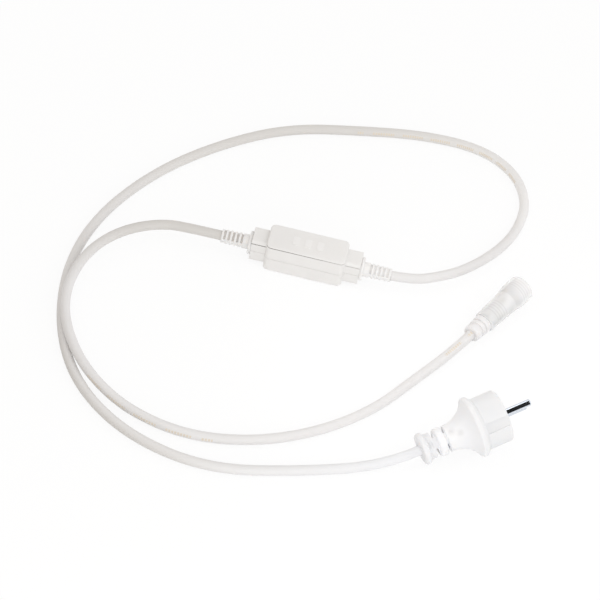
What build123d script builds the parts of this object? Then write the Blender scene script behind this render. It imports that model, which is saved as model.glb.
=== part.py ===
from build123d import *
from math import asin, atan2, cos, degrees, hypot, radians, sin, tan
import os

# All sizes are in millimetres and all angles in degrees.
# The floor is at Z = 0, and the origin is the middle of the rectifier box's underside.

# Cords and cores
cord_diameter = 7.0
core_diameter = 2.4
core_pitch = 3.4
core_bend = 4.0
plug_core_bend = 9.0
bend_share = 0.45
cord_gap = 0.3
floor_gap = 0.02
mould_gap = 0.05
tiny = 0.01

# Rectifier box
body_length = 56.5
body_width = 22.8
body_height = 24.5
body_corner = 3.5
top_round = 1.0
bottom_round = 1.6
wall = 1.8
neck_length = 10.9
neck_width = 15.5
neck_height = 19.5
neck_corner = 2.2
neck_wall = 1.5
neck_end_wall = 2.0
neck_end_round = 0.6
line_depth = 0.5
seam_width = 0.3
crease_width = 0.5
pad_count = 3
pad_pitch = 8.6
pad_length = 4.6
pad_width = 7.6
pad_corner = 1.0
pad_rise = 0.35
lip_length = 36.0
lip_thickness = 0.8
lip_height = 1.5
lip_gap = 0.1

# Circuit board and what stands on it
board_gap = 0.3
board_corner = 1.2
board_height = 5.0
board_thickness = 1.6
post_diameter = 3.0
post_inset = 4.5
core_landing = 6.0
rectifier_length = 15.0
rectifier_thickness = 4.2
rectifier_height = 11.0
rectifier_back = 4.2
fuse_diameter = 8.5
fuse_height = 8.0
fuse_front = 4.2
part_round = 0.6

# Strain reliefs of the box
waist_wall = 0.7
hold_gap = 0.25
hold_thickness = 2.0
collar_diameter = 16.4
collar_thickness = 2.2
collar_round = 0.7
relief_wall = 0.3
sleeve_rise = 1.4
sleeve_length = 4.3
rib_count = 5
rib_pitch = 3.1
rib_width = 1.6
rib_round = 0.4
first_rib_rise = 1.5
last_rib_rise = 1.1
spine_width = 3.0

# Mains plug, measured along its axis from the rear of its tail
plug_place = (107.3, -147.9)
plug_azimuth = 34.6
plug_rim_round = 1.5
tail_diameter = 22.6
tail_thickness = 4.2
tail_rise = 2.2
first_slot = 8.8
first_slot_width = 2.8
first_root_width = 1.2
slot_ring_rise = 0.8
ring_round = 1.5
second_slot = 17.6
second_slot_width = 1.5
second_root_width = 0.9
slot_depth = 1.0
slot_web = 8.2
slot_lean = 6.0
nick_width = 0.8
nick_depth = 0.8
nick_spacing = 1.8
trumpet_rise = 0.25
trumpet_start = 20.0
flange_start = 37.8
flange_edge = 1.6
flange_rise = 3.05
flange_lip = 3.6
flange_front_round = 2.0
front_start = 44.1
front_diameter = 36.9
front_end = 61.5
front_round = 2.0
guide_width = 7.6
guide_stop = 0.5
guide_depth = 1.6
guide_turn = 20.0
pin_line_turn = -62.0
pin_diameter = 4.8
pin_length = 19.0
pin_tip_round = 1.2
pin_pitch = 19.0
pin_neck_diameter = 4.0
pin_collar_diameter = 6.0
pin_collar_thickness = 1.5
pin_shank_length = 3.0
bridge_depth = 14.0
bridge_width = 12.0
core_straight = 20.0
core_spread = 14.0
dimple_diameter = 10.0
dimple_depth = 0.4
dimples = [(22.5, -18.3), (27.6, 3.7)]

# Strip connector, measured along its axis from the rear of its tail
connector_place = (124.9, -31.6)
connector_azimuth = 61.2
tail_ring_diameter = 12.4
tail_ring_length = 5.0
tail_round = 0.45
ring_rise = 0.3
neck_groove_width = 1.2
neck_groove_depth = 0.6
mid_ring_length = 2.8
stop_ring_length = 3.6
barrel_depth = 0.28
run_gap = 0.08
nut_back_gap = 0.6
nut_front_gap = 0.3
shoulder_start = 39.9
shoulder_gap = 0.5
shoulder_thickness = 2.0
spigot_end = 50.2
barrel_groove_count = 6
barrel_groove_start = 19.6
barrel_groove_pitch = 2.3
barrel_groove_width = 1.1
barrel_groove_depth = 0.7
seal_start = 43.0
seal_width = 2.0
seal_depth = 1.0
seal_rise = 0.6
seal_round = 0.5
insert_diameter = 8.2
insert_start = 41.0
insert_recess = 0.2
contact_diameter = 2.9
contact_bore = 2.0
contact_bore_depth = 8.0

# Coupling nut of the strip connector
coupling_space = 1.9
nut_rear_wall = 1.7
nut_rear_round = 1.0
nut_waist = 40.6
nut_waist_wall = 0.9
nut_head = 47.0
nut_head_wall = 1.95
nut_taper_start = 54.2
nut_end = 58.5
nut_rim_wall = 1.5
nut_rim_round = 0.7
mouth_chamfer = 0.4

# Values that follow from the sizes above
cord_radius = cord_diameter / 2
core_radius = core_diameter / 2
core_hole = core_diameter + 2 * mould_gap
lay_height = cord_radius + floor_gap
box_mid = body_height / 2
neck_end = body_length / 2 + neck_length
waist_diameter = cord_diameter + 2 * waist_wall
hold_diameter = neck_width - 2 * (neck_wall + hold_gap)
relief_core_diameter = cord_diameter + 2 * relief_wall
sleeve_diameter = relief_core_diameter + 2 * sleeve_rise
first_rib_diameter = relief_core_diameter + 2 * first_rib_rise
last_rib_diameter = relief_core_diameter + 2 * last_rib_rise
collar_end = neck_end + collar_thickness
ribs_start = collar_end + sleeve_length
relief_end = ribs_start + rib_count * rib_pitch
board_length = body_length - 2 * (wall + board_gap)
board_width = body_width - 2 * (wall + board_gap)
board_top = board_height + board_thickness
segment_diameter = tail_diameter - 2 * tail_rise
slots = [
    (first_slot, first_slot_width, first_root_width),
    (second_slot, second_slot_width, second_root_width),
]
ring_diameter = segment_diameter + 2 * slot_ring_rise
slot_floor_diameter = segment_diameter - 2 * slot_depth
trumpet_diameter = segment_diameter + 2 * trumpet_rise
flange_diameter = front_diameter + 2 * flange_rise
trumpet_end_diameter = flange_diameter - 2 * flange_edge
flare_run = flange_start - trumpet_start
flare_rise = (trumpet_end_diameter - trumpet_diameter) / 2
flare_radius = (flare_run**2 + flare_rise**2) / (2 * flare_rise)
guide_length = front_end - front_start - guide_stop
pin_collar_front = front_end - bridge_depth
pin_collar_rear = pin_collar_front - pin_collar_thickness
pin_rear = pin_collar_rear - pin_shank_length
mid_ring_start = tail_ring_length + neck_groove_width
stop_ring_start = mid_ring_start + mid_ring_length + neck_groove_width
stop_ring_end = stop_ring_start + stop_ring_length
mid_ring_diameter = tail_ring_diameter + 2 * ring_rise
stop_ring_diameter = mid_ring_diameter + 2 * ring_rise
neck_groove_diameter = tail_ring_diameter - 2 * neck_groove_depth
barrel_diameter = tail_ring_diameter - 2 * barrel_depth
seal_floor_diameter = barrel_diameter - 2 * seal_depth
seal_diameter = barrel_diameter + 2 * seal_rise
thread_diameter = barrel_diameter + 2 * coupling_space
shoulder_diameter = thread_diameter - 2 * shoulder_gap
nut_bore = barrel_diameter + 2 * run_gap
nut_rear_diameter = nut_bore + 2 * nut_rear_wall
nut_waist_diameter = thread_diameter + 2 * nut_waist_wall
nut_head_diameter = thread_diameter + 2 * nut_head_wall
nut_rim_diameter = thread_diameter + 2 * nut_rim_wall
nut_start = stop_ring_end + nut_back_gap
nut_shelf = shoulder_start - nut_front_gap
insert_end = spigot_end - insert_recess


# Frames have their X axis along the axis of the piece they carry


def across(frame, distance):
    # Plane square to a frame's X axis, with its own X along the frame's Y
    return Plane(frame.from_local_coords((distance, 0, 0)), x_dir=frame.y_dir, z_dir=frame.x_dir)


def lying_frame(place, height, azimuth, tilt):
    # Frame whose X axis points along an azimuth and rises by a tilt, with Z kept upward
    level = Vector(cos(radians(azimuth)), sin(radians(azimuth)), 0)
    forward = level * cos(radians(tilt)) + Vector(0, 0, sin(radians(tilt)))
    upward = Vector(0, 0, cos(radians(tilt))) - level * sin(radians(tilt))
    return Plane((*place, height), x_dir=forward, z_dir=upward)


def rolled(frame, turn):
    # Frame turned about its own X axis
    upward = frame.z_dir * cos(radians(turn)) - frame.y_dir * sin(radians(turn))
    return Plane(frame.origin, x_dir=frame.x_dir, z_dir=upward)


def leaned(frame, lean):
    # Frame turned about its own Y axis, so that its Z axis leans back
    forward = frame.x_dir * cos(radians(lean)) + frame.z_dir * sin(radians(lean))
    upward = frame.z_dir * cos(radians(lean)) - frame.x_dir * sin(radians(lean))
    return Plane(frame.origin, x_dir=forward, z_dir=upward)


def at_level(profile, diameter):
    # Corners of a half profile that lie at one diameter
    return profile.vertices().filter_by_position(Axis.Y, diameter / 2 - tiny, diameter / 2 + tiny)


input_frame = Plane((0, 0, box_mid), x_dir=(1, 0, 0), z_dir=(0, 0, 1))
output_frame = Plane((0, 0, box_mid), x_dir=(-1, 0, 0), z_dir=(0, 0, 1))

# The plug lies on the rims of its tail and its flange, which are rounded alike
plug_tilt = degrees(atan2((flange_diameter - tail_diameter) / 2, flange_start))
plug_drop = (tail_diameter / 2 - plug_rim_round) * cos(radians(plug_tilt))
plug_drop -= plug_rim_round * sin(radians(plug_tilt))
plug_height = plug_rim_round + plug_drop + floor_gap
level_plug_frame = lying_frame(plug_place, plug_height, plug_azimuth, plug_tilt)
plug_frame = rolled(level_plug_frame, pin_line_turn)
guide_frame = rolled(plug_frame, guide_turn)
side_frame = rolled(plug_frame, 90)
slot_frame = leaned(side_frame, slot_lean)

# The connector lies on its nut, on the rounded rear edge and on the rear of the head
nut_seat = nut_start + nut_rear_round
nut_seat_radius = nut_rear_diameter / 2 - nut_rear_round
connector_reach = nut_head - nut_seat
connector_rise = nut_head_diameter / 2 - nut_seat_radius
connector_tilt = degrees(
    atan2(connector_rise, connector_reach) - asin(nut_rear_round / hypot(connector_reach, connector_rise))
)
connector_height = nut_rear_round + floor_gap + nut_seat_radius * cos(radians(connector_tilt))
connector_height -= nut_seat * sin(radians(connector_tilt))
connector_frame = lying_frame(connector_place, connector_height, connector_azimuth, connector_tilt)


def core(points, bend, diameter):
    # Insulated core bent along a few points, or the channel it runs in
    with BuildPart() as wire:
        with BuildLine() as path:
            FilletPolyline(*points, radius=bend)
        with BuildSketch(Plane(path.line @ 0, z_dir=path.line % 0)):
            Circle(diameter / 2)
        sweep()
    return wire.part


def box_core(frame, side):
    # From the end of the strain relief through the neck and down onto the board
    landing = body_length / 2 - wall - core_landing
    points = [
        (relief_end, side * core_pitch / 2, 0),
        (landing, side * core_pitch / 2, 0),
        (landing, side * core_pitch / 2, board_top - box_mid),
    ]
    return core([frame.from_local_coords(point) for point in points], core_bend, core_diameter)


def plug_core(side, diameter):
    # From the cord's end face to the rear end of a pin
    points = [
        (0, side * core_pitch / 2, 0),
        (core_straight, side * core_pitch / 2, 0),
        (core_straight + core_spread, side * pin_pitch / 2, 0),
        (pin_rear, side * pin_pitch / 2, 0),
    ]
    return core([plug_frame.from_local_coords(point) for point in points], plug_core_bend, diameter)


def strain_relief(frame):
    # Ribbed sleeve with a collar outside the neck and a holding flange inside it
    hold_front = neck_end - neck_end_wall - mould_gap
    outline = [
        (hold_front - hold_thickness, 0),
        (hold_front - hold_thickness, hold_diameter / 2),
        (hold_front, hold_diameter / 2),
        (hold_front, waist_diameter / 2),
        (neck_end, waist_diameter / 2),
        (neck_end, collar_diameter / 2),
        (collar_end, collar_diameter / 2),
        (collar_end, sleeve_diameter / 2),
        (ribs_start, sleeve_diameter / 2),
    ]
    for rib in range(rib_count):
        rib_end = ribs_start + (rib + 1) * rib_pitch
        narrowing = (first_rib_diameter - last_rib_diameter) * rib / (rib_count - 1)
        rib_radius = (first_rib_diameter - narrowing) / 2
        outline += [
            (rib_end - rib_pitch, relief_core_diameter / 2),
            (rib_end - rib_width, relief_core_diameter / 2),
            (rib_end - rib_width, rib_radius),
            (rib_end, rib_radius),
        ]
    outline += [(relief_end, 0)]
    with BuildPart() as relief:
        with BuildSketch(frame) as profile:
            with BuildLine():
                Polyline(*outline, close=True)
            make_face()
            fillet(at_level(profile, collar_diameter), collar_round)
            ribs = profile.vertices().filter_by_position(Axis.X, ribs_start + tiny, relief_end + tiny)
            crests = ribs.filter_by_position(Axis.Y, relief_core_diameter / 2 + tiny, first_rib_diameter)
            fillet(crests, rib_round)
        revolve(axis=Axis(frame.origin, frame.x_dir))
        with BuildSketch(across(frame, ribs_start)):
            Circle(last_rib_diameter / 2)
            Rectangle(last_rib_diameter, spine_width, mode=Mode.INTERSECT)
        extrude(amount=relief_end - rib_round - ribs_start)
        with BuildSketch(across(frame, hold_front - hold_thickness)):
            with GridLocations(core_pitch, 0, 2, 1):
                Circle(core_hole / 2)
        extrude(amount=relief_end - hold_front + hold_thickness, mode=Mode.SUBTRACT)
    return relief.part


def cord(name, points):
    # Tube of straight runs joined by tangent arcs, each as wide as its runs allow
    radii = []
    for before, here, after in zip(points, points[1:], points[2:]):
        half_turn = radians((here - before).get_angle(after - here)) / 2
        radii.append(bend_share * min((here - before).length, (after - here).length) / tan(half_turn))
    with BuildPart() as tube:
        with BuildLine() as path:
            FilletPolyline(*points, radius=radii)
        with BuildSketch(Plane(path.line @ 0, z_dir=path.line % 0)) as section:
            Circle(cord_radius)
        sweep()
    length = path.wire().length
    whole = section.sketch.area * length
    print(name, "radii", [round(radius, 1) for radius in radii])
    print(name, "length", round(length, 1), "volume share", round(tube.part.volume / whole, 4))
    return tube.part


# Case of the rectifier box, whole, before it is parted into its two shells
with BuildPart() as case:
    with BuildSketch(Plane.XY):
        RectangleRounded(body_length, body_width, body_corner)
    extrude(amount=body_height)
    fillet(case.faces().sort_by(Axis.Z)[-1].edges(), top_round)
    fillet(case.faces().sort_by(Axis.Z)[0].edges(), bottom_round)
    with BuildSketch(across(input_frame, -neck_end)):
        RectangleRounded(neck_width, neck_height, neck_corner)
    extrude(amount=2 * neck_end)
    neck_faces = case.faces().sort_by(Axis.X)
    fillet(neck_faces[0].edges() + neck_faces[-1].edges(), neck_end_round)
    with BuildSketch(Plane.XY.offset(wall)):
        RectangleRounded(body_length - 2 * wall, body_width - 2 * wall, body_corner - wall)
    extrude(amount=body_height - 2 * wall, mode=Mode.SUBTRACT)
    with BuildSketch(across(input_frame, neck_end_wall - neck_end)):
        RectangleRounded(neck_width - 2 * neck_wall, neck_height - 2 * neck_wall, neck_corner - neck_wall)
    extrude(amount=2 * (neck_end - neck_end_wall), mode=Mode.SUBTRACT)
    with BuildSketch(across(input_frame, -neck_end)):
        Circle(waist_diameter / 2 + mould_gap)
    extrude(amount=2 * neck_end, mode=Mode.SUBTRACT)
    # Shadow lines at the seam and under the rounded top edges
    for height, line_width, length in (
        (box_mid - seam_width / 2, seam_width, 2 * neck_end),
        (body_height - top_round - crease_width, crease_width, body_length),
    ):
        with BuildSketch(Plane.XY.offset(height)):
            RectangleRounded(body_length, body_width, body_corner)
            Rectangle(length, neck_width)
            RectangleRounded(
                body_length - 2 * line_depth,
                body_width - 2 * line_depth,
                body_corner - line_depth,
                mode=Mode.SUBTRACT,
            )
            Rectangle(length - 2 * line_depth, neck_width - 2 * line_depth, mode=Mode.SUBTRACT)
        extrude(amount=line_width, mode=Mode.SUBTRACT)
    for side in (-1, 1):
        neck_middle = side * (neck_end - neck_length / 2)
        with BuildSketch(Plane((neck_middle, 0, box_mid + neck_height / 2 - neck_corner - crease_width))):
            Rectangle(neck_length, neck_width)
            Rectangle(neck_length, neck_width - 2 * line_depth, mode=Mode.SUBTRACT)
        extrude(amount=crease_width, mode=Mode.SUBTRACT)
    # Plain raised pads on the top
    with BuildSketch(Plane.XY.offset(body_height - wall / 2)):
        with GridLocations(pad_pitch, 0, pad_count, 1):
            RectangleRounded(pad_length, pad_width, pad_corner)
    extrude(amount=wall / 2 + pad_rise)

with BuildPart() as lower_shell:
    add(case.part)
    split(bisect_by=Plane.XY.offset(box_mid), keep=Keep.BOTTOM)
    with BuildSketch(Plane.XY.offset(wall - tiny)):
        with GridLocations(board_length - 2 * post_inset, board_width - 2 * post_inset, 2, 2):
            Circle(post_diameter / 2)
    extrude(amount=board_height - wall + tiny)
    with BuildSketch(Plane.XY.offset(box_mid - lip_height)):
        with GridLocations(0, body_width - 2 * wall + lip_thickness, 1, 2):
            Rectangle(lip_length, lip_thickness)
    extrude(amount=2 * lip_height)

with BuildPart() as upper_shell:
    add(case.part)
    split(bisect_by=Plane.XY.offset(box_mid), keep=Keep.TOP)
    with BuildSketch(Plane.XY.offset(box_mid)):
        with GridLocations(0, body_width - 2 * wall + lip_thickness, 1, 2):
            Rectangle(lip_length + 2 * lip_gap, lip_thickness + 2 * lip_gap)
    extrude(amount=lip_height + lip_gap, mode=Mode.SUBTRACT)

with BuildPart() as circuit_board:
    with BuildSketch(Plane.XY.offset(board_height)):
        RectangleRounded(board_length, board_width, board_corner)
    extrude(amount=board_thickness)

with BuildPart() as bridge_rectifier:
    with BuildSketch(Plane((0, rectifier_back, board_top))):
        Rectangle(rectifier_length, rectifier_thickness)
    extrude(amount=rectifier_height)
    fillet(bridge_rectifier.faces().sort_by(Axis.Z)[-1].edges(), part_round)

with BuildPart() as fuse:
    with BuildSketch(Plane((0, -fuse_front, board_top))):
        Circle(fuse_diameter / 2)
    extrude(amount=fuse_height)
    fillet(fuse.faces().sort_by(Axis.Z)[-1].edges(), part_round)

# Mains plug
plug_channels = [plug_core(side, core_hole) for side in (-1, 1)]
with BuildPart() as plug_body:
    with BuildSketch(plug_frame) as profile:
        with BuildLine():
            rise = Polyline(
                (0, 0),
                (0, tail_diameter / 2),
                (tail_thickness, tail_diameter / 2),
                (tail_thickness, segment_diameter / 2),
                (first_slot, segment_diameter / 2),
                (first_slot, slot_floor_diameter / 2),
                (first_slot + first_slot_width, slot_floor_diameter / 2),
                (first_slot + first_slot_width, ring_diameter / 2),
                (second_slot, ring_diameter / 2),
                (second_slot, slot_floor_diameter / 2),
                (second_slot + second_slot_width, slot_floor_diameter / 2),
                (second_slot + second_slot_width, trumpet_diameter / 2),
                (trumpet_start, trumpet_diameter / 2),
            )
            flare = TangentArc(rise @ 1, (flange_start, trumpet_end_diameter / 2), tangent=(1, 0))
            Polyline(
                flare @ 1,
                (flange_start, flange_diameter / 2),
                (flange_start + flange_lip, flange_diameter / 2),
                (front_start, front_diameter / 2),
                (front_end, front_diameter / 2),
                (front_end, 0),
                (0, 0),
            )
        make_face()
        fillet(at_level(profile, tail_diameter), plug_rim_round)
        fillet(at_level(profile, ring_diameter), ring_round)
        lip = at_level(profile, flange_diameter).sort_by(Axis.X)
        fillet(lip[0], plug_rim_round)
        lip = at_level(profile, flange_diameter).sort_by(Axis.X)
        fillet(lip[-1], flange_front_round)
        fillet(at_level(profile, front_diameter).sort_by(Axis.X)[-1], front_round)
    revolve(axis=Axis(plug_frame.origin, plug_frame.x_dir))
    # Slots that let the tail bend, narrowing towards a web between them
    for side in (-1, 1):
        for start, width, root_width in slots:
            middle = start + width / 2
            with BuildSketch(slot_frame):
                with BuildLine():
                    Polyline(
                        (start, side * ring_diameter / 2),
                        (start + width, side * ring_diameter / 2),
                        (middle + root_width / 2, side * slot_web / 2),
                        (middle - root_width / 2, side * slot_web / 2),
                        close=True,
                    )
                make_face()
            extrude(amount=ring_diameter, both=True, mode=Mode.SUBTRACT)
        with BuildSketch(side_frame.offset(side * (segment_diameter / 2 - nick_depth))):
            with Locations(((tail_thickness + first_slot) / 2, 0)):
                with GridLocations(nick_spacing, 0, 2, 1):
                    Rectangle(nick_width, segment_diameter)
        extrude(amount=side * tail_diameter, mode=Mode.SUBTRACT)
        # Guide grooves for a recessed socket
        with BuildSketch(across(guide_frame, front_end)):
            with Locations((side * front_diameter / 2, 0)):
                Rectangle(2 * guide_depth, guide_width)
        extrude(amount=-guide_length, mode=Mode.SUBTRACT)
    # Shallow marks on the flare
    for along, turn in dimples:
        slope = asin((along - trumpet_start) / flare_radius)
        surface = trumpet_diameter / 2 + flare_radius * (1 - cos(slope))
        reach = dimple_diameter / 2 - dimple_depth
        middle = (along - reach * sin(slope), -surface - reach * cos(slope), 0)
        with Locations(rolled(plug_frame, turn).from_local_coords(middle)):
            Sphere(dimple_diameter / 2, mode=Mode.SUBTRACT)
    # Seat of the bridge, seats of the pins and channels of the cores
    with BuildSketch(across(plug_frame, pin_collar_front)):
        SlotCenterToCenter(pin_pitch, bridge_width + 2 * mould_gap)
    extrude(amount=bridge_depth, mode=Mode.SUBTRACT)
    with BuildSketch(across(plug_frame, pin_collar_rear)):
        with GridLocations(pin_pitch, 0, 2, 1):
            Circle(pin_collar_diameter / 2 + mould_gap)
    extrude(amount=pin_collar_thickness, mode=Mode.SUBTRACT)
    with BuildSketch(across(plug_frame, pin_rear)):
        with GridLocations(pin_pitch, 0, 2, 1):
            Circle(pin_neck_diameter / 2 + mould_gap)
    extrude(amount=pin_shank_length, mode=Mode.SUBTRACT)
    add(plug_channels, mode=Mode.SUBTRACT)

with BuildPart() as pin_bridge:
    with BuildSketch(across(plug_frame, pin_collar_front)):
        SlotCenterToCenter(pin_pitch, bridge_width)
        with GridLocations(pin_pitch, 0, 2, 1):
            Circle(pin_neck_diameter / 2 + mould_gap, mode=Mode.SUBTRACT)
    extrude(amount=bridge_depth)


def plug_pin(side):
    # Solid pin with a rounded tip, a neck through the bridge and a collar behind it
    start = plug_frame.from_local_coords((0, side * pin_pitch / 2, 0))
    frame = Plane(start, x_dir=plug_frame.x_dir, z_dir=plug_frame.z_dir)
    with BuildPart() as pin:
        with BuildSketch(frame) as profile:
            with BuildLine():
                Polyline(
                    (pin_rear, 0),
                    (pin_rear, pin_neck_diameter / 2),
                    (pin_collar_rear, pin_neck_diameter / 2),
                    (pin_collar_rear, pin_collar_diameter / 2),
                    (pin_collar_front, pin_collar_diameter / 2),
                    (pin_collar_front, pin_neck_diameter / 2),
                    (front_end, pin_neck_diameter / 2),
                    (front_end, pin_diameter / 2),
                    (front_end + pin_length, pin_diameter / 2),
                    (front_end + pin_length, 0),
                    close=True,
                )
            make_face()
            fillet(at_level(profile, pin_diameter).sort_by(Axis.X)[-1], pin_tip_round)
        revolve(axis=Axis(frame.origin, frame.x_dir))
    return pin.part


# Strip connector
with BuildPart() as connector_body:
    with BuildSketch(connector_frame) as profile:
        with BuildLine():
            Polyline(
                (0, 0),
                (0, tail_ring_diameter / 2),
                (tail_ring_length, tail_ring_diameter / 2),
                (tail_ring_length, neck_groove_diameter / 2),
                (mid_ring_start, neck_groove_diameter / 2),
                (mid_ring_start, mid_ring_diameter / 2),
                (mid_ring_start + mid_ring_length, mid_ring_diameter / 2),
                (mid_ring_start + mid_ring_length, neck_groove_diameter / 2),
                (stop_ring_start, neck_groove_diameter / 2),
                (stop_ring_start, stop_ring_diameter / 2),
                (stop_ring_end, stop_ring_diameter / 2),
                (stop_ring_end, barrel_diameter / 2),
                (shoulder_start, barrel_diameter / 2),
                (shoulder_start, shoulder_diameter / 2),
                (shoulder_start + shoulder_thickness, shoulder_diameter / 2),
                (shoulder_start + shoulder_thickness, barrel_diameter / 2),
                (seal_start, barrel_diameter / 2),
                (seal_start, seal_floor_diameter / 2),
                (seal_start + seal_width, seal_floor_diameter / 2),
                (seal_start + seal_width, barrel_diameter / 2),
                (spigot_end, barrel_diameter / 2),
                (spigot_end, insert_diameter / 2 + mould_gap),
                (insert_start, insert_diameter / 2 + mould_gap),
                (insert_start, 0),
                close=True,
            )
        make_face()
        fillet(at_level(profile, tail_ring_diameter), tail_round)
        fillet(at_level(profile, mid_ring_diameter), tail_round)
        fillet(at_level(profile, stop_ring_diameter), tail_round)
    revolve(axis=Axis(connector_frame.origin, connector_frame.x_dir))
    for groove in range(barrel_groove_count):
        with BuildSketch(across(connector_frame, barrel_groove_start + groove * barrel_groove_pitch)):
            Circle(barrel_diameter)
            Circle(barrel_diameter / 2 - barrel_groove_depth, mode=Mode.SUBTRACT)
        extrude(amount=barrel_groove_width, mode=Mode.SUBTRACT)
    with BuildSketch(across(connector_frame, 0)):
        with GridLocations(core_pitch, 0, 2, 1):
            Circle(core_hole / 2)
    extrude(amount=insert_start, mode=Mode.SUBTRACT)

with BuildPart() as contact_insert:
    with BuildSketch(across(connector_frame, insert_start)):
        Circle(insert_diameter / 2)
        with GridLocations(core_pitch, 0, 2, 1):
            Circle(contact_diameter / 2 + mould_gap, mode=Mode.SUBTRACT)
    extrude(amount=insert_end - insert_start)

with BuildPart() as sealing_ring:
    with BuildSketch(connector_frame) as profile:
        with BuildLine():
            Polyline(
                (seal_start + mould_gap, seal_floor_diameter / 2 + mould_gap),
                (seal_start + mould_gap, seal_diameter / 2),
                (seal_start + seal_width - mould_gap, seal_diameter / 2),
                (seal_start + seal_width - mould_gap, seal_floor_diameter / 2 + mould_gap),
                close=True,
            )
        make_face()
        fillet(at_level(profile, seal_diameter), seal_round)
    revolve(axis=Axis(connector_frame.origin, connector_frame.x_dir))


def connector_core(side):
    # Straight core from the cord's end face to its contact
    with BuildPart() as wire:
        with BuildSketch(across(connector_frame, 0)):
            with Locations((side * core_pitch / 2, 0)):
                Circle(core_radius)
        extrude(amount=insert_start)
    return wire.part


def contact(side):
    # Socket contact, bored from its front
    with BuildPart() as socket:
        with BuildSketch(across(connector_frame, insert_start)):
            with Locations((side * core_pitch / 2, 0)):
                Circle(contact_diameter / 2)
        extrude(amount=insert_end - insert_start)
        with BuildSketch(across(connector_frame, insert_end)):
            with Locations((side * core_pitch / 2, 0)):
                Circle(contact_bore / 2)
        extrude(amount=-contact_bore_depth, mode=Mode.SUBTRACT)
    return socket.part


with BuildPart() as coupling_nut:
    with BuildSketch(connector_frame) as profile:
        with BuildLine():
            Polyline(
                (nut_start, nut_bore / 2),
                (nut_start, nut_rear_diameter / 2),
                (nut_waist, nut_waist_diameter / 2),
                (nut_head, nut_head_diameter / 2),
                (nut_taper_start, nut_head_diameter / 2),
                (nut_end, nut_rim_diameter / 2),
                (nut_end, thread_diameter / 2 + mouth_chamfer),
                (nut_end - mouth_chamfer, thread_diameter / 2),
                (nut_shelf, thread_diameter / 2),
                (nut_shelf, nut_bore / 2),
                close=True,
            )
        make_face()
        fillet(at_level(profile, nut_rear_diameter), nut_rear_round)
        fillet(at_level(profile, nut_rim_diameter), nut_rim_round)
    revolve(axis=Axis(connector_frame.origin, connector_frame.x_dir))

# Cord routes, chosen by hand as X, Y and the share of a climb
input_lay = [
    (33, -184),
    (-28, -201),
    (-84, -188),
    (-127, -158),
    (-151, -113),
    (-160, -55),
    (-150, -1),
    (-121, 52),
    (-82, 94),
    (-36, 127),
    (17, 142),
    (62, 152),
    (104, 152),
    (132, 136),
    (145, 109),
    (142.5, 81),
]
input_climb = [(134, 57, 0.13), (122, 36, 0.4), (109, 19, 0.72), (95, 8, 0.93)]
output_descent = [(-103, 0, 0.83)]
output_over = [
    (-128, -13, 0.86),
    (-146, -37, 0.97),
    (-154, -66, 1.0),
    (-153, -96, 1.0),
    (-141, -125, 0.97),
    (-121, -149, 0.55),
    (-90, -168, 0.1),
]
output_lay = [(-48, -177), (-4, -169), (36, -147), (70, -116), (93, -80)]
input_run = 17.0
output_run = 19.0
plug_run = 27.1
connector_run = 24.0

climb = box_mid - lay_height
over_rise = cord_diameter + cord_gap
plug_back = plug_frame.from_local_coords((-plug_run, 0, 0))
connector_back = connector_frame.from_local_coords((-connector_run, 0, 0))
input_route = [
    plug_frame.origin,
    plug_back,
    *[Vector(x, y, lay_height) for x, y in input_lay],
    *[Vector(x, y, lay_height + share * climb) for x, y, share in input_climb],
    Vector(relief_end + input_run, 0, box_mid),
    Vector(relief_end, 0, box_mid),
]
output_route = [
    Vector(-relief_end, 0, box_mid),
    Vector(-relief_end - output_run, 0, box_mid),
    *[Vector(x, y, lay_height + share * climb) for x, y, share in output_descent],
    *[Vector(x, y, lay_height + share * over_rise) for x, y, share in output_over],
    *[Vector(x, y, lay_height) for x, y in output_lay],
    connector_back,
    connector_frame.origin,
]

pieces = {
    "lower_shell": lower_shell.part,
    "upper_shell": upper_shell.part,
    "circuit_board": circuit_board.part,
    "bridge_rectifier": bridge_rectifier.part,
    "fuse": fuse.part,
    "input_live_lead": box_core(input_frame, -1),
    "input_neutral_lead": box_core(input_frame, 1),
    "output_positive_lead": box_core(output_frame, -1),
    "output_negative_lead": box_core(output_frame, 1),
    "input_strain_relief": strain_relief(input_frame),
    "output_strain_relief": strain_relief(output_frame),
    "input_cord": cord("input cord", input_route),
    "output_cord": cord("output cord", output_route),
    "plug_body": plug_body.part,
    "pin_bridge": pin_bridge.part,
    "live_pin": plug_pin(-1),
    "neutral_pin": plug_pin(1),
    "plug_live_lead": plug_core(-1, core_diameter),
    "plug_neutral_lead": plug_core(1, core_diameter),
    "connector_body": connector_body.part,
    "contact_insert": contact_insert.part,
    "positive_contact": contact(-1),
    "negative_contact": contact(1),
    "sealing_ring": sealing_ring.part,
    "connector_positive_lead": connector_core(-1),
    "connector_negative_lead": connector_core(1),
    "coupling_nut": coupling_nut.part,
}

os.makedirs("parts", exist_ok=True)
for name, piece in pieces.items():
    piece.label = name
    export_step(piece, "parts/" + name + ".step")

# Places of the mounts and the joint
for name, frame in (("plug", plug_frame), ("connector", connector_frame)):
    print(name, "origin", frame.origin, "axis", frame.x_dir, "across", frame.y_dir)
for side in (-1, 1):
    print("pin face", plug_frame.from_local_coords((front_end, side * pin_pitch / 2, 0)))
    print("contact mouth", connector_frame.from_local_coords((insert_end, side * core_pitch / 2, 0)))
print("nut mouth", connector_frame.from_local_coords((nut_end, 0, 0)))
print("input exit", input_route[-1], "output exit", output_route[0])
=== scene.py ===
from math import cos, pi, radians, sin

import bpy
from mathutils import Matrix, Vector


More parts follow.
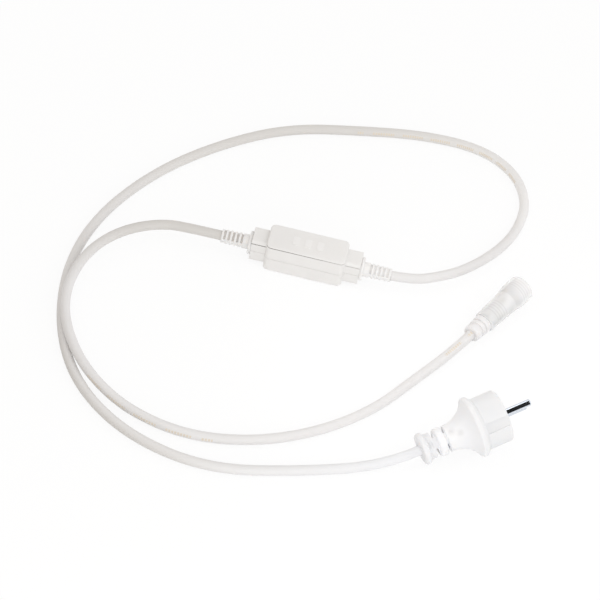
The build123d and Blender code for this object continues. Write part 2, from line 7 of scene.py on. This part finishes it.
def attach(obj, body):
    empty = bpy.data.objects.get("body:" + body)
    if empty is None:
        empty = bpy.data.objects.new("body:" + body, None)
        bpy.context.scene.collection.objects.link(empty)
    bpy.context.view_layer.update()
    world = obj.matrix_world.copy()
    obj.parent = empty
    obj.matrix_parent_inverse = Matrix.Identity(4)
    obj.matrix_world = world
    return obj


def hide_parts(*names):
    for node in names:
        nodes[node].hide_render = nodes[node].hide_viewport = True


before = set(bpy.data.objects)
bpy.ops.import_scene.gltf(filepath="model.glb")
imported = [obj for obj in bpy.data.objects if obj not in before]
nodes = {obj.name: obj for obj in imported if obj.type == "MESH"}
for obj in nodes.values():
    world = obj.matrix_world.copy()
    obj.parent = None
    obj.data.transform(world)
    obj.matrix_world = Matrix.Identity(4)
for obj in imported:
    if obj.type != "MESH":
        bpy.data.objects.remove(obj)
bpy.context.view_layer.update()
scene = bpy.context.scene
scene.view_settings.view_transform = "Standard"

# Places and sizes of the part, in metres
cord_radius = 0.0035
floor_lay = 0.00352
box_mid = 0.01225
relief_end = 0.06115
plug_tail = Vector((0.1073, -0.1479, 0.0105908))
plug_axis = Vector((0.794712, 0.548235, 0.260523))
plug_lead_in = 0.0271
connector_tail = Vector((0.1249, -0.0316, 0.0067001))
connector_axis = Vector((0.480725, 0.874436, 0.065299))
connector_lead_in = 0.024
input_length = 0.947

origin = (0, 0, 0)
x_axis = (1, 0, 0)
z_axis = (0, 0, 1)

# Camera at the photograph's viewing angle
camera_place = (0.053634, -1.636376, 1.783548)
camera_elevation = 48.0
camera_yaw = 1.8
camera_roll = 12.0
camera_lens = 205.9
camera_sensor = 36


def add_camera():
    tilt, turn, roll = radians(camera_elevation), radians(camera_yaw), radians(camera_roll)
    forward = Vector((-sin(turn) * cos(tilt), cos(turn) * cos(tilt), -sin(tilt)))
    level = Vector((cos(turn), sin(turn), 0))
    rise = Vector((-sin(turn) * sin(tilt), cos(turn) * sin(tilt), cos(tilt)))
    right = level * cos(roll) + rise * sin(roll)
    up = rise * cos(roll) - level * sin(roll)
    data = bpy.data.cameras.new("camera")
    data.lens = camera_lens
    data.sensor_width = camera_sensor
    camera = bpy.data.objects.new("camera", data)
    facing = Matrix((right, up, -forward)).transposed().to_4x4()
    camera.matrix_world = Matrix.Translation(camera_place) @ facing
    scene.collection.objects.link(camera)
    scene.camera = camera


add_camera()

# Cords along the points of their solids, nine of them moved by up to 3.2 mm to follow the photo
spline_order = 3
steps_per_point = 14
round_steps = 7

input_route = [
    (relief_end, 0, box_mid),
    (0.07815, 0.0010, box_mid),
    (0.095, 0.0106, 0.01164),
    (0.109, 0.0222, 0.0098),
    (0.122, 0.0390, 0.00701),
    (0.134, 0.0588, 0.00465),
    (0.1425, 0.081, floor_lay),
    (0.145, 0.109, floor_lay),
    (0.132, 0.136, floor_lay),
    (0.104, 0.152, floor_lay),
    (0.062, 0.152, floor_lay),
    (0.017, 0.142, floor_lay),
    (-0.036, 0.127, floor_lay),
    (-0.082, 0.094, floor_lay),
    (-0.121, 0.052, floor_lay),
    (-0.150, -0.001, floor_lay),
    (-0.160, -0.055, floor_lay),
    (-0.151, -0.113, floor_lay),
    (-0.127, -0.158, floor_lay),
    (-0.0848, -0.1892, floor_lay),
    (-0.028, -0.201, floor_lay),
    (0.033, -0.184, floor_lay),
    plug_tail - plug_axis * plug_lead_in,
    plug_tail,
]
output_route = [
    (-relief_end, 0, box_mid),
    (-0.08015, 0, box_mid),
    (-0.103, 0, 0.01077),
    (-0.128, -0.013, 0.0098),
    (-0.146, -0.037, 0.0106),
    (-0.154, -0.066, 0.01082),
    (-0.153, -0.096, 0.01082),
    (-0.141, -0.125, 0.0106),
    (-0.121, -0.149, 0.00754),
    (-0.090, -0.168, 0.00425),
    (-0.048, -0.177, floor_lay),
    (-0.004, -0.169, floor_lay),
    (0.0366, -0.1479, floor_lay),
    (0.0708, -0.1168, floor_lay),
    (0.0939, -0.0808, floor_lay),
    connector_tail - connector_axis * connector_lead_in,
    connector_tail,
]


def add_cord(name, node, route):
    curve = bpy.data.curves.new(name, "CURVE")
    curve.dimensions = "3D"
    curve.twist_mode = "Z_UP"
    spline = curve.splines.new("NURBS")
    spline.points.add(len(route) - 1)
    for point, place in zip(spline.points, route):
        point.co = (*place, 1)
        point.radius = cord_radius
    spline.order_u = spline_order
    spline.use_endpoint_u = True
    spline.resolution_u = steps_per_point
    # The points' radius sets the thickness, so the bevel itself has a depth of 1
    curve.bevel_depth = 1.0
    curve.bevel_resolution = round_steps
    curve.use_fill_caps = True
    piece = bpy.data.objects.new(name, curve)
    scene.collection.objects.link(piece)
    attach(piece, "cord_set")
    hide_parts(node)
    return piece


input_flex = add_cord(
    "input_flex", "input_cord", input_route
)
output_flex = add_cord(
    "output_flex", "output_cord", output_route
)

# Screw thread inside the collar, measured along and out from the connector's axis
thread_start = 0.0465
thread_end = 0.0568
thread_root = 0.0078
thread_crest = 0.0071
thread_pitch = 0.0019
thread_steps = 48

# Half widths of the ridge at its root and its crest, as shares of the pitch
root_half = 0.32
crest_half = 0.08


def add_thread(name):
    across = connector_axis.cross(Vector(z_axis)).normalized()
    rise = across.cross(connector_axis)
    section = [
        (-root_half, thread_root),
        (-crest_half, thread_crest),
        (crest_half, thread_crest),
        (root_half, thread_root),
    ]
    sides = len(section)
    count = int((thread_end - thread_start) / thread_pitch * thread_steps)
    corners = []
    for step in range(count + 1):
        angle = 2 * pi * step / thread_steps
        out = across * cos(angle) + rise * sin(angle)
        along = thread_start + thread_pitch * step / thread_steps
        for shift, radius in section:
            reach = along + shift * thread_pitch
            corners.append(connector_tail + connector_axis * reach + out * radius)
    faces = []
    for step in range(count):
        near = step * sides
        far = near + sides
        for side in range(sides):
            other = (side + 1) % sides
            faces.append((near + side, near + other, far + other, far + side))
    faces.append(tuple(reversed(range(sides))))
    faces.append(tuple(count * sides + side for side in range(sides)))
    mesh = bpy.data.meshes.new(name)
    mesh.from_pydata(corners, [], faces)
    piece = bpy.data.objects.new(name, mesh)
    scene.collection.objects.link(piece)
    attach(piece, "nut")
    return piece


thread = add_thread("collar_thread")


class Nodes:
    # Short ways to add nodes to a tree

    # Places of a colour Mix node's sockets
    mix_factor = 0
    mix_first = 6
    mix_second = 7
    mix_result = 2

    def __init__(self, tree):
        self.tree = tree

    def node(self, kind, links=None, **settings):
        made = self.tree.nodes.new(kind)
        for key, value in settings.items():
            setattr(made, key, value)
        for socket, value in (links or {}).items():
            self.feed(made, socket, value)
        return made

    def feed(self, made, socket, value):
        if isinstance(value, bpy.types.NodeSocket):
            self.tree.links.new(value, made.inputs[socket])
        else:
            made.inputs[socket].default_value = value

    def math(self, operation, *values):
        links = dict(enumerate(values))
        return self.node("ShaderNodeMath", links, operation=operation).outputs[0]

    def times(self, first, second):
        return self.math("MULTIPLY", first, second)

    def vector(self, operation, *values, result="Vector"):
        links = dict(enumerate(values))
        return self.node("ShaderNodeVectorMath", links, operation=operation).outputs[result]

    def blend(self, factor, first, second):
        mixer = self.node("ShaderNodeMix", data_type="RGBA")
        self.feed(mixer, self.mix_factor, factor)
        self.feed(mixer, self.mix_first, first)
        self.feed(mixer, self.mix_second, second)
        return mixer.outputs[self.mix_result]

    def spread(self, value, low, high, span):
        # From low to high while the value goes through the span
        links = {
            "Value": value,
            "From Min": span[0],
            "From Max": span[1],
            "To Min": low,
            "To Max": high,
        }
        return self.node("ShaderNodeMapRange", links).outputs["Result"]

    def stretch(self, value, rising, falling, top=1.0, rest=0.0):
        # Up from 0 to top through the first span, down to a share of that through the second
        rise = self.spread(value, 0.0, top, rising)
        return self.times(rise, self.spread(value, 1.0, rest, falling))

    def band(self, value, span):
        # 1 inside the span, 0 outside
        first, last = span
        return self.math("COMPARE", value, (first + last) / 2, (last - first) / 2)

    def looked(self):
        # 1 for rays from the camera, a reflection or glass, 0 for those that carry light
        seen = self.node("ShaderNodeLightPath").outputs
        direct = self.math("MAXIMUM", seen["Is Camera Ray"], seen["Is Glossy Ray"])
        return self.math("MAXIMUM", direct, seen["Is Transmission Ray"])


class Recipe(Nodes):
    # A material with its Principled shader

    noise_middle = (0.3, 0.7)

    def __init__(self, name):
        self.material = bpy.data.materials.new(name)
        self.material.use_nodes = True
        super().__init__(self.material.node_tree)
        self.shader = self.tree.nodes["Principled BSDF"]
        self.tone = None

    def set(self, **values):
        for socket, value in values.items():
            self.feed(self.shader, socket.replace("_", " "), value)

    def place(self):
        return self.node("ShaderNodeTexCoord").outputs["Object"]

    def flow(self):
        # On a cord: X is the share of its run from the box on, Y the share of a turn round it
        place = self.node("ShaderNodeTexCoord").outputs["UV"]
        return self.node("ShaderNodeSeparateXYZ", {"Vector": place}).outputs

    def along(self, start, axis):
        # Distance from a point, measured along an axis
        step = self.vector("SUBTRACT", self.place(), start)
        return self.vector("DOT_PRODUCT", step, axis, result="Value")

    def away(self, start, axis):
        # Distance from an axis through a point
        step = self.vector("SUBTRACT", self.place(), start)
        return self.vector("LENGTH", self.vector("CROSS_PRODUCT", step, axis), result="Value")

    def noise(self, scale, detail):
        links = {"Vector": self.place(), "Scale": scale, "Detail": detail}
        return self.node("ShaderNodeTexNoise", links).outputs["Fac"]

    def clouds(self, low, high, scale, detail):
        # Noise from low to high, with its rare ends cut off
        return self.spread(self.noise(scale, detail), low, high, self.noise_middle)

    def bump(self, height, strength, distance):
        links = {"Height": height, "Strength": strength, "Distance": distance}
        return self.node("ShaderNodeBump", links).outputs["Normal"]

    def shaded(self, factor, colour):
        # Another colour over the tone so far
        self.tone = self.blend(factor, self.tone, colour)
        self.set(Base_Color=self.tone)


def rgb(red, green, blue):
    return (red, green, blue, 1.0)


def grey(level):
    return rgb(level, level, level)


# Shares of a turn round a cord: a tick's half width, and the outer side from its top to below
half_turn = 0.5
tick_half = 0.045
outer_rising = (0.22, 0.40)
outer_falling = (0.55, 0.75)

# Lengths of a group of ticks and of one tick with its gap, and the shares that are inked
group_pitch = 0.0205
group_inked = (0.0, 0.72)
tick_pitch = 0.0017
tick_inked = (0.02, 0.68)

moulded_grain = 2600.0
cord_grain = 1800.0


def plastic(name, main, shade, roughness, grain=moulded_grain, soft=0.0):
    # Moulded plastic: faint cloudiness, fine spark grain and uneven gloss
    recipe = Recipe(name)
    recipe.tone = recipe.blend(recipe.clouds(0.0, 1.0, scale=55.0, detail=3.0), main, shade)
    uneven = 0.06
    gloss = recipe.clouds(roughness - uneven, roughness + uneven, scale=320.0, detail=2.0)
    relief = recipe.bump(recipe.noise(grain, detail=2.0), strength=0.35, distance=0.00004)
    recipe.set(Base_Color=recipe.tone, Roughness=gloss, Normal=relief, IOR=1.48)
    if soft:
        recipe.set(Subsurface_Weight=soft, Subsurface_Radius=(1.0, 0.95, 0.9))
        recipe.set(Subsurface_Scale=0.003)
    return recipe


def metal(name, main, shade, roughness):
    # Plated metal: polishing marks and small changes of gloss
    recipe = Recipe(name)
    recipe.tone = recipe.blend(recipe.clouds(0.0, 1.0, scale=180.0, detail=2.0), main, shade)
    smooth, rough = roughness * 0.7, roughness * 1.4
    gloss = recipe.clouds(smooth, rough, scale=900.0, detail=4.0)
    marks = recipe.bump(recipe.noise(scale=5000.0, detail=3.0), strength=0.15, distance=0.00001)
    recipe.set(Base_Color=recipe.tone, Roughness=gloss, Normal=marks, Metallic=1.0)
    return recipe


def printed(recipe, spans, length, ink):
    # Faint generic marks along a cord: groups of ticks, no letters
    flow = recipe.flow()
    # Half a turn on, so that a row of ticks at the seam stays whole
    turned = recipe.math("FRACT", recipe.math("ADD", flow["Y"], half_turn))
    marks = None
    for first, last, around in spans:
        row = recipe.math("COMPARE", turned, around, tick_half)
        piece = recipe.times(recipe.band(flow["X"], (first, last)), row)
        marks = piece if marks is None else recipe.math("MAXIMUM", marks, piece)
    run = recipe.times(flow["X"], length)
    for pitch, inked in ((group_pitch, group_inked), (tick_pitch, tick_inked)):
        share = recipe.math("FRACT", recipe.math("DIVIDE", run, pitch))
        marks = recipe.times(marks, recipe.band(share, inked))
    recipe.shaded(marks, ink)


def shade_outer_side(recipe, rising, falling, strength, colour):
    # Painted shade on the outer side of a loop, between two places along the cord
    flow = recipe.flow()
    run = recipe.stretch(flow["X"], rising, falling)
    outer = recipe.stretch(flow["Y"], outer_rising, outer_falling)
    recipe.shaded(recipe.times(recipe.times(run, outer), strength), colour)


# Case, reliefs, plug and connector
case_white = plastic(
    "case_white", rgb(0.89, 0.88, 0.865), rgb(0.875, 0.865, 0.85), 0.48, soft=0.1
)
relief_white = plastic(
    "relief_white", rgb(0.92, 0.91, 0.90), rgb(0.90, 0.89, 0.88), 0.5, soft=0.7
)
plug_white = plastic(
    "plug_white", rgb(0.92, 0.925, 0.95), rgb(0.905, 0.91, 0.935), 0.46, soft=0.7
)
connector_white = plastic(
    "connector_white", rgb(0.87, 0.86, 0.865), rgb(0.855, 0.845, 0.85), 0.48, soft=0.6
)
bridge_white = plastic("bridge_white", rgb(0.82, 0.82, 0.81), rgb(0.80, 0.80, 0.79), 0.42)
insert_grey = plastic("insert_grey", rgb(0.78, 0.79, 0.77), rgb(0.75, 0.76, 0.74), 0.5)
seal_grey = plastic("seal_grey", rgb(0.72, 0.73, 0.71), rgb(0.69, 0.70, 0.68), 0.6)

# Milky collar and its thread
nut_clear = plastic(
    "nut_clear", rgb(0.98, 0.97, 0.97), rgb(0.965, 0.955, 0.955), 0.34, soft=0.9
)
nut_clear.set(Alpha=0.4, IOR=1.45)
thread_clear = plastic(
    "nut_clear_thread", rgb(0.96, 0.95, 0.955), rgb(0.94, 0.93, 0.935), 0.34
)
thread_clear.set(Alpha=0.85, IOR=1.45)

# Cords
cord_main = rgb(0.835, 0.825, 0.82)
cord_shade = rgb(0.815, 0.805, 0.80)
input_white = plastic("cord_white_input", cord_main, cord_shade, 0.5, cord_grain, soft=0.1)
output_white = plastic("cord_white_output", cord_main, cord_shade, 0.5, cord_grain, soft=0.1)

# What the box, the plug and the connector hold
board_green = plastic("board_green", rgb(0.03, 0.16, 0.06), rgb(0.02, 0.12, 0.05), 0.35)
rectifier_black = plastic("rectifier_black", grey(0.02), grey(0.03), 0.6)
fuse_brown = plastic("fuse_brown", rgb(0.10, 0.04, 0.02), rgb(0.08, 0.03, 0.015), 0.4)
core_brown = plastic("core_brown", rgb(0.12, 0.05, 0.02), rgb(0.10, 0.04, 0.02), 0.45)
core_blue = plastic("core_blue", rgb(0.03, 0.10, 0.35), rgb(0.02, 0.08, 0.30), 0.45)
core_red = plastic("core_red", rgb(0.40, 0.02, 0.02), rgb(0.34, 0.02, 0.02), 0.45)
core_black = plastic("core_black", grey(0.02), grey(0.025), 0.45)
pin_metal = metal("pin_metal", rgb(0.73, 0.77, 0.83), rgb(0.70, 0.74, 0.80), 0.12)
contact_brass = metal("contact_brass", rgb(0.75, 0.55, 0.22), rgb(0.70, 0.50, 0.19), 0.25)

# Painted shade: dark lines in the creases of the case, strongest at the output end
body_crease = (0.02299, 0.02351)
neck_crease = (0.01929, 0.01981)
neck_start = 0.02835
crease_ends = (-0.028, 0.028)
crease_at_output = 0.9
crease_at_input = 0.3
crease_shade_brown = rgb(0.14, 0.115, 0.09)
across_box = case_white.along(origin, x_axis)
height = case_white.along(origin, z_axis)
outward = case_white.math("ABSOLUTE", across_box)
on_neck = case_white.math("GREATER_THAN", outward, neck_start)
on_body = case_white.math("SUBTRACT", 1.0, on_neck)
crease_shade_mask = case_white.math(
    "MAXIMUM",
    case_white.times(case_white.band(height, body_crease), on_body),
    case_white.times(case_white.band(height, neck_crease), on_neck),
)
fade = case_white.spread(across_box, crease_at_output, crease_at_input, crease_ends)
case_white.shaded(case_white.times(crease_shade_mask, fade), crease_shade_brown)

# Raised pads a little paler than the case's top
pad_rise = (0.02452, 0.02480)
pad_strength = 0.4
pad_white = rgb(0.96, 0.955, 0.95)
case_white.shaded(case_white.spread(height, 0.0, pad_strength, pad_rise), pad_white)

# Painted shade: the plug's front and tail a little greyer than its flare
plug_front = (0.026, 0.040)
plug_front_shade = rgb(0.845, 0.85, 0.86)
plug_rear = (0.006, 0.016)
plug_rear_shade = rgb(0.835, 0.837, 0.85)
plug_reach = plug_white.along(plug_tail, plug_axis)
plug_white.shaded(plug_white.spread(plug_reach, 0.0, 1.0, plug_front), plug_front_shade)
plug_white.shaded(plug_white.spread(plug_reach, 1.0, 0.0, plug_rear), plug_rear_shade)

# Painted shade: grey towards the middles of the two shallow dimples in the plug's flare
dimple_shade_middles = ((0.12408, -0.13827, 0.02550), (0.13049, -0.13881, 0.02667))
dimple_shade_edge = (0.0004, 0.0034)
dimple_shade_strength = 0.42
dimple_shade_grey = rgb(0.70, 0.69, 0.67)
for middle in dimple_shade_middles:
    apart = plug_white.vector("DISTANCE", plug_white.place(), middle, result="Value")
    plug_white.shaded(plug_white.spread(apart, dimple_shade_strength, 0.0, dimple_shade_edge), dimple_shade_grey)

# Painted shade in the gaps between the reliefs' ribs, stronger at the output end
rib_flank = (0.0039, 0.0049)
relief_ends = (-0.04, 0.04)
gap_shade_at_output = 0.34
gap_shade_at_input = 0.04
rib_gap_shade = rgb(0.36, 0.30, 0.24)
rib_radius = relief_white.away((0, 0, box_mid), x_axis)
gaps = relief_white.spread(rib_radius, 1.0, 0.0, rib_flank)
across_reliefs = relief_white.along(origin, x_axis)
ends = relief_white.spread(across_reliefs, gap_shade_at_output, gap_shade_at_input, relief_ends)
relief_white.shaded(relief_white.times(gaps, ends), rib_gap_shade)

# Painted light on the barrel towards its mouth, and painted shade in its grooves and in two
# hollows in its side
barrel_front = (0.0240, 0.0340)
mouth_strength = 0.7
mouth_light = rgb(0.96, 0.955, 0.955)
barrel_grooves = (0.0190, 0.0330)
groove_flank = (0.0053, 0.0057)
groove_shade = rgb(0.74, 0.75, 0.73)
rear_hollow = (0.0155, 0.0178)
front_hollow = (0.0330, 0.0368)
hollow_side = (-0.816, 0.419, 0.400)
hollow_width = (0.0002, 0.0048)
hollow_shade = rgb(0.56, 0.58, 0.55)
reach = connector_white.along(connector_tail, connector_axis)
mouth = connector_white.spread(reach, 0.0, mouth_strength, barrel_front)
connector_white.shaded(mouth, mouth_light)
barrel_radius = connector_white.away(connector_tail, connector_axis)
sunk = connector_white.spread(barrel_radius, 1.0, 0.0, groove_flank)
grooves = connector_white.times(connector_white.band(reach, barrel_grooves), sunk)
connector_white.shaded(grooves, groove_shade)
sideways = connector_white.along(connector_tail, hollow_side)
hollows = connector_white.math(
    "MAXIMUM",
    connector_white.band(reach, rear_hollow),
    connector_white.band(reach, front_hollow),
)
hollows = connector_white.times(hollows, connector_white.band(sideways, hollow_width))
connector_white.shaded(hollows, hollow_shade)

# Painted shade of the grooves and of the thread below, as faint rings in the collar's wall:
# where, and how far apart
groove_rings = ((0.0196, 0.0323), 0.0023)
thread_rings = ((0.0470, 0.0560), 0.0021)
ring_edge = (-0.2, 0.8)
ring_strength = 0.5
ring_shade = rgb(0.80, 0.80, 0.79)
depth = nut_clear.along(connector_tail, connector_axis)
for span, pitch in (groove_rings, thread_rings):
    wave = nut_clear.math("SINE", nut_clear.times(depth, 2 * pi / pitch))
    rings = nut_clear.spread(wave, 0.0, ring_strength, ring_edge)
    nut_clear.shaded(nut_clear.times(rings, nut_clear.band(depth, span)), ring_shade)

# Painted shade: output cord greyer behind the box
output_run = output_white.flow()["X"]
behind_box_shade = output_white.spread(output_run, low=0.85, high=0.0, span=(0.16, 0.32))
output_white.shaded(behind_box_shade, rgb(0.69, 0.67, 0.64))

# Painted shade along the input cord's far loop, painted light at its right end, and paler, bluer
# painted light by the plug
input_run = input_white.flow()["X"]
far_loop_shade = input_white.stretch(
    input_run, rising=(0.28, 0.42), falling=(0.56, 0.66), top=0.8, rest=0.35
)
input_white.shaded(far_loop_shade, rgb(0.74, 0.72, 0.69))
right_end_light = input_white.stretch(input_run, rising=(0.21, 0.30), falling=(0.27, 0.48))
input_white.shaded(right_end_light, rgb(0.93, 0.92, 0.91))
by_plug_light = input_white.spread(input_run, low=0.0, high=1.0, span=(0.86, 1.0))
input_white.shaded(by_plug_light, rgb(0.85, 0.86, 0.88))

# Rows of ticks: first and last share of the run, and the place round the cord, half a turn on
ink = rgb(0.80, 0.72, 0.61)
input_ticks = [(0.325, 0.48, 0.503)]
output_ticks = [(0.485, 0.66, 0.903), (0.944, 1.0, 0.725)]
output_tick_run = 0.537
printed(input_white, input_ticks, input_length, ink)
printed(output_white, output_ticks, output_tick_run, ink)

# Painted shade on the outer side of the cords' left loop
outer_side_shade = rgb(0.46, 0.43, 0.39)
shade_outer_side(input_white, rising=(0.70, 0.76), falling=(0.83, 0.90), strength=0.45, colour=outer_side_shade)
shade_outer_side(output_white, rising=(0.30, 0.38), falling=(0.55, 0.64), strength=0.3, colour=outer_side_shade)

finishes = {
    case_white: ["lower_shell", "upper_shell"],
    relief_white: ["input_strain_relief", "output_strain_relief"],
    plug_white: ["plug_body"],
    bridge_white: ["pin_bridge"],
    pin_metal: ["live_pin", "neutral_pin"],
    connector_white: ["connector_body"],
    nut_clear: ["coupling_nut"],
    insert_grey: ["contact_insert"],
    contact_brass: ["positive_contact", "negative_contact"],
    seal_grey: ["sealing_ring"],
    board_green: ["circuit_board"],
    rectifier_black: ["bridge_rectifier"],
    fuse_brown: ["fuse"],
    core_brown: ["input_live_lead", "plug_live_lead"],
    core_blue: ["input_neutral_lead", "plug_neutral_lead"],
    core_red: ["output_positive_lead", "connector_positive_lead"],
    core_black: ["output_negative_lead", "connector_negative_lead"],
}
for recipe, names in finishes.items():
    for name in names:
        slots = nodes[name].data.materials
        slots.clear()
        slots.append(recipe.material)
thread.data.materials.append(thread_clear.material)
input_flex.data.materials.append(input_white.material)
output_flex.data.materials.append(output_white.material)

# Light passes the milky collar nearly unshaded
nodes["coupling_nut"].visible_shadow = False
thread.visible_shadow = False

# Stage and light: a look at the floor sees mostly its glow, and the rest takes the shadow
floor_half = 4.0
floor_glow = 0.86
floor_shadowed = 0.15
floor_bounce = 0.9
white = grey(1.0)
light_from_left = rgb(0.71, 0.68, 0.65)
light_from_right = rgb(0.92, 0.915, 0.915)
lamp_tint = (0.98, 0.99, 1.0)
full_spread = 180


def add_floor():
    mesh = bpy.data.meshes.new("floor")
    corners = [
        (-floor_half, -floor_half, 0),
        (floor_half, -floor_half, 0),
        (floor_half, floor_half, 0),
        (-floor_half, floor_half, 0),
    ]
    mesh.from_pydata(corners, [], [(0, 1, 2, 3)])
    floor = bpy.data.objects.new("floor", mesh)
    scene.collection.objects.link(floor)
    recipe = Recipe("floor_white")
    glow = recipe.node("ShaderNodeEmission", {"Color": white, "Strength": floor_glow})
    faint = recipe.node("ShaderNodeBsdfDiffuse", {"Color": grey(floor_shadowed)})
    seen = recipe.node("ShaderNodeAddShader", {0: glow.outputs[0], 1: faint.outputs[0]})
    plain = recipe.node("ShaderNodeBsdfDiffuse", {"Color": grey(floor_bounce)})
    pick = recipe.node(
        "ShaderNodeMixShader",
        {0: recipe.looked(), 1: plain.outputs[0], 2: seen.outputs[0]},
    )
    recipe.feed(recipe.tree.nodes["Material Output"], "Surface", pick.outputs[0])
    mesh.materials.append(recipe.material)


def add_world(left, right):
    # Light from all around, stronger from the right; rays that look at it see plain white
    world = bpy.data.worlds.new("studio")
    world.use_nodes = True
    scene.world = world
    sky = Nodes(world.node_tree)
    way = sky.node("ShaderNodeTexCoord").outputs["Generated"]
    rightward = sky.node("ShaderNodeSeparateXYZ", {"Vector": way}).outputs["X"]
    light = sky.blend(sky.spread(rightward, 0.0, 1.0, (-1.0, 1.0)), left, right)
    background = sky.tree.nodes["Background"]
    sky.feed(background, "Color", sky.blend(sky.looked(), light, white))
    sky.feed(background, "Strength", 1.0)


def add_lamp(name, place, target, size, power, spread=full_spread):
    data = bpy.data.lights.new(name, "AREA")
    data.energy = power
    data.size = size
    data.color = lamp_tint
    data.spread = radians(spread)
    lamp = bpy.data.objects.new(name, data)
    lamp.location = place
    aim = Vector(target) - Vector(place)
    lamp.rotation_euler = aim.to_track_quat("-Z", "Y").to_euler()
    scene.collection.objects.link(lamp)
    lamp.visible_camera = False


# Card bent round the pins: how far along the plug's axis, how far from it, its width and its arc
card_reach = 0.071
card_radius = 0.08
card_width = 0.09
card_first_angle = -20
card_step_angle = 10
card_steps = 12


def add_card(name):
    # Dark card that only mirror reflections see, as the dark band along the pins
    middle = plug_tail + plug_axis * card_reach
    upright = Vector(z_axis)
    rise = (upright - plug_axis * upright.dot(plug_axis)).normalized()
    side = plug_axis.cross(rise)
    corners = []
    for step in range(card_steps + 1):
        angle = radians(card_first_angle + card_step_angle * step)
        out = rise * cos(angle) + side * sin(angle)
        for end in (-card_width / 2, card_width / 2):
            corners.append(middle + out * card_radius + plug_axis * end)
    mesh = bpy.data.meshes.new(name)
    faces = [(2 * n, 2 * n + 1, 2 * n + 3, 2 * n + 2) for n in range(card_steps)]
    mesh.from_pydata(corners, [], faces)
    card = bpy.data.objects.new(name, mesh)
    scene.collection.objects.link(card)
    card.visible_camera = False
    card.visible_diffuse = False
    card.visible_transmission = False
    card.visible_shadow = False
    recipe = Recipe(name)
    recipe.set(Base_Color=grey(0.01), Roughness=1.0)
    mesh.materials.append(recipe.material)


add_floor()
add_world(light_from_left, light_from_right)
add_lamp("key", (0.42, -0.05, 0.32), (0.10, -0.05, 0), size=0.25, power=0.14)
add_lamp("rear", (-0.02, 0.02, 0.30), (0.12, -0.14, 0.02), size=0.15, power=0.006, spread=40)
add_lamp("front", (0.15, -0.70, 0.30), (0.08, -0.08, 0), size=0.4, power=0.9)
add_lamp("fill", (-0.03, -0.08, 0.30), (0.14, -0.06, 0.01), size=0.15, power=0.0145, spread=60)
add_card("pin_card")

bpy.context.view_layer.update()
